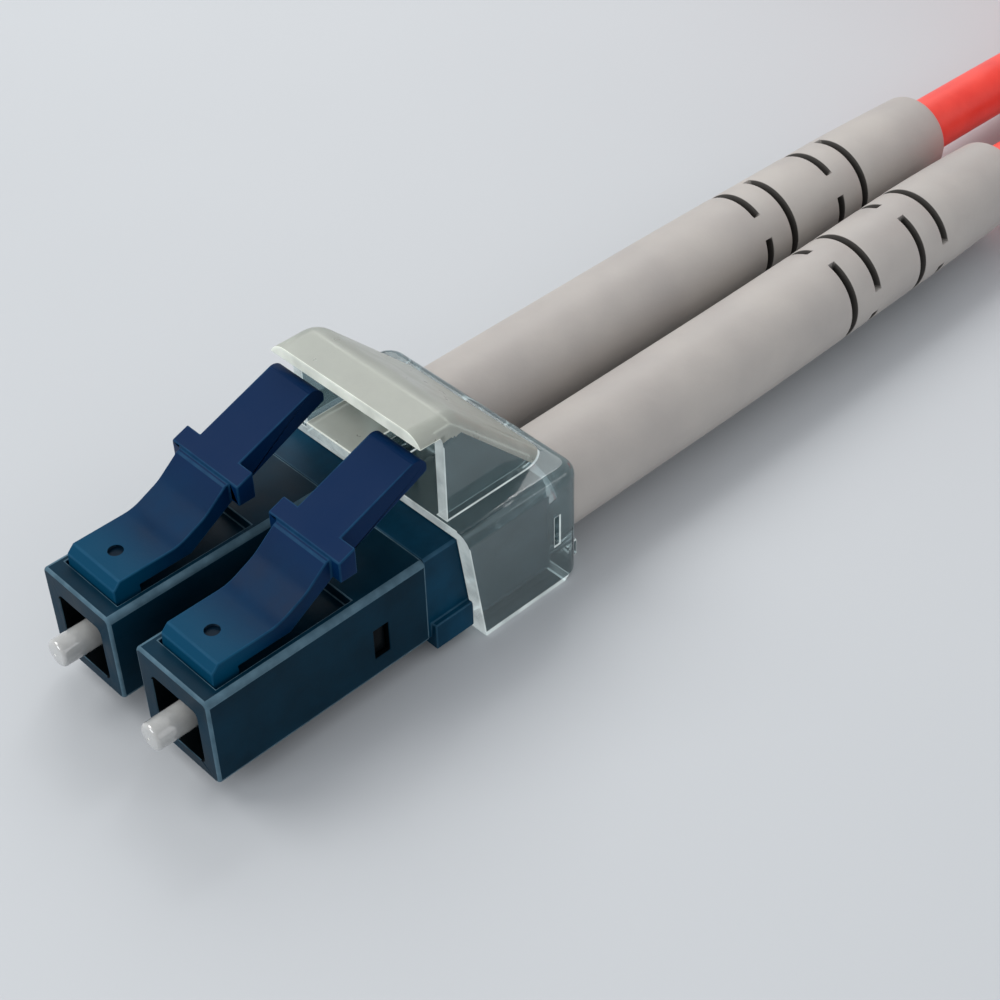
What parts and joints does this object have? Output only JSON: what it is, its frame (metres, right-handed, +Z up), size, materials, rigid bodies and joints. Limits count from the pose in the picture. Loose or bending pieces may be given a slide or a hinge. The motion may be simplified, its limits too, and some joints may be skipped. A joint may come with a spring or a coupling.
{
  "type": "duplex fibre connector",
  "caption": "Duplex fibre connector with sprung latches, a clear joining clip, long slit boots and a cut pair of cords put away in a tied hank.",
  "frame": {"origin": "on the surface that the clip stands on, under the middle of the duplex plug from ferrule tips to boot ends", "axes": "+X back along the plugs towards the cords, +Y to the left plug, +Z up"},
  "size_m": [0.162, 0.0284, 0.0192],
  "materials": {
    "housing": "moulded, fine satin",
    "latch": "moulded, fine satin",
    "rear_body": "moulded, fine satin",
    "ferrule": "ground and polished zirconia",
    "flange": "turned",
    "fibre": "buffered fibre",
    "crimp_ring": "nickel plated",
    "spring": "drawn wire",
    "boot": "soft moulded, matt",
    "cord": "extruded jacket",
    "clip": "clear moulding",
    "tie": "hook and loop tape"
  },
  "bodies": {
    "root": {"plug_frame_left": "housing", "rear_body_left": "rear_body", "crimp_ring_left": "crimp_ring", "boot_left": "boot", "cord_left": "cord", "hank_left": "cord", "plug_frame_right": "housing", "rear_body_right": "rear_body", "crimp_ring_right": "crimp_ring", "boot_right": "boot", "cord_right": "cord", "hank_right": "cord", "duplex_clip": "clip", "hank_tie": "tie"},
    "latch_left": {"latch_arm_left": "latch"},
    "ferrule_set_left": {"ferrule_left": "ferrule", "flange_left": "flange", "fibre_left": "fibre", "spring_left": "spring"},
    "latch_right": {"latch_arm_right": "latch"},
    "ferrule_set_right": {"ferrule_right": "ferrule", "flange_right": "flange", "fibre_right": "fibre", "spring_right": "spring"}
  },
  "joints": [
    {"name": "latch_press_left", "type": "hinge", "parent": "root", "child": "latch_left", "pos_m": [-0.02485, 0.00313, 0.00545], "axis": [0, 1, 0], "range_deg": [0, 6], "stiffness_Nm_per_rad": 0.19},
    {"name": "ferrule_float_left", "type": "slide", "parent": "root", "child": "ferrule_set_left", "axis": [1, 0, 0], "range_m": [0, 0.001], "stiffness_N_per_m": 1500, "deforming": ["spring_left"]},
    {"name": "latch_press_right", "type": "hinge", "parent": "root", "child": "latch_right", "pos_m": [-0.02485, -0.00313, 0.00545], "axis": [0, 1, 0], "range_deg": [0, 6], "stiffness_Nm_per_rad": 0.19},
    {"name": "ferrule_float_right", "type": "slide", "parent": "root", "child": "ferrule_set_right", "axis": [1, 0, 0], "range_m": [0, 0.001], "stiffness_N_per_m": 1500, "deforming": ["spring_right"]}
  ]
}
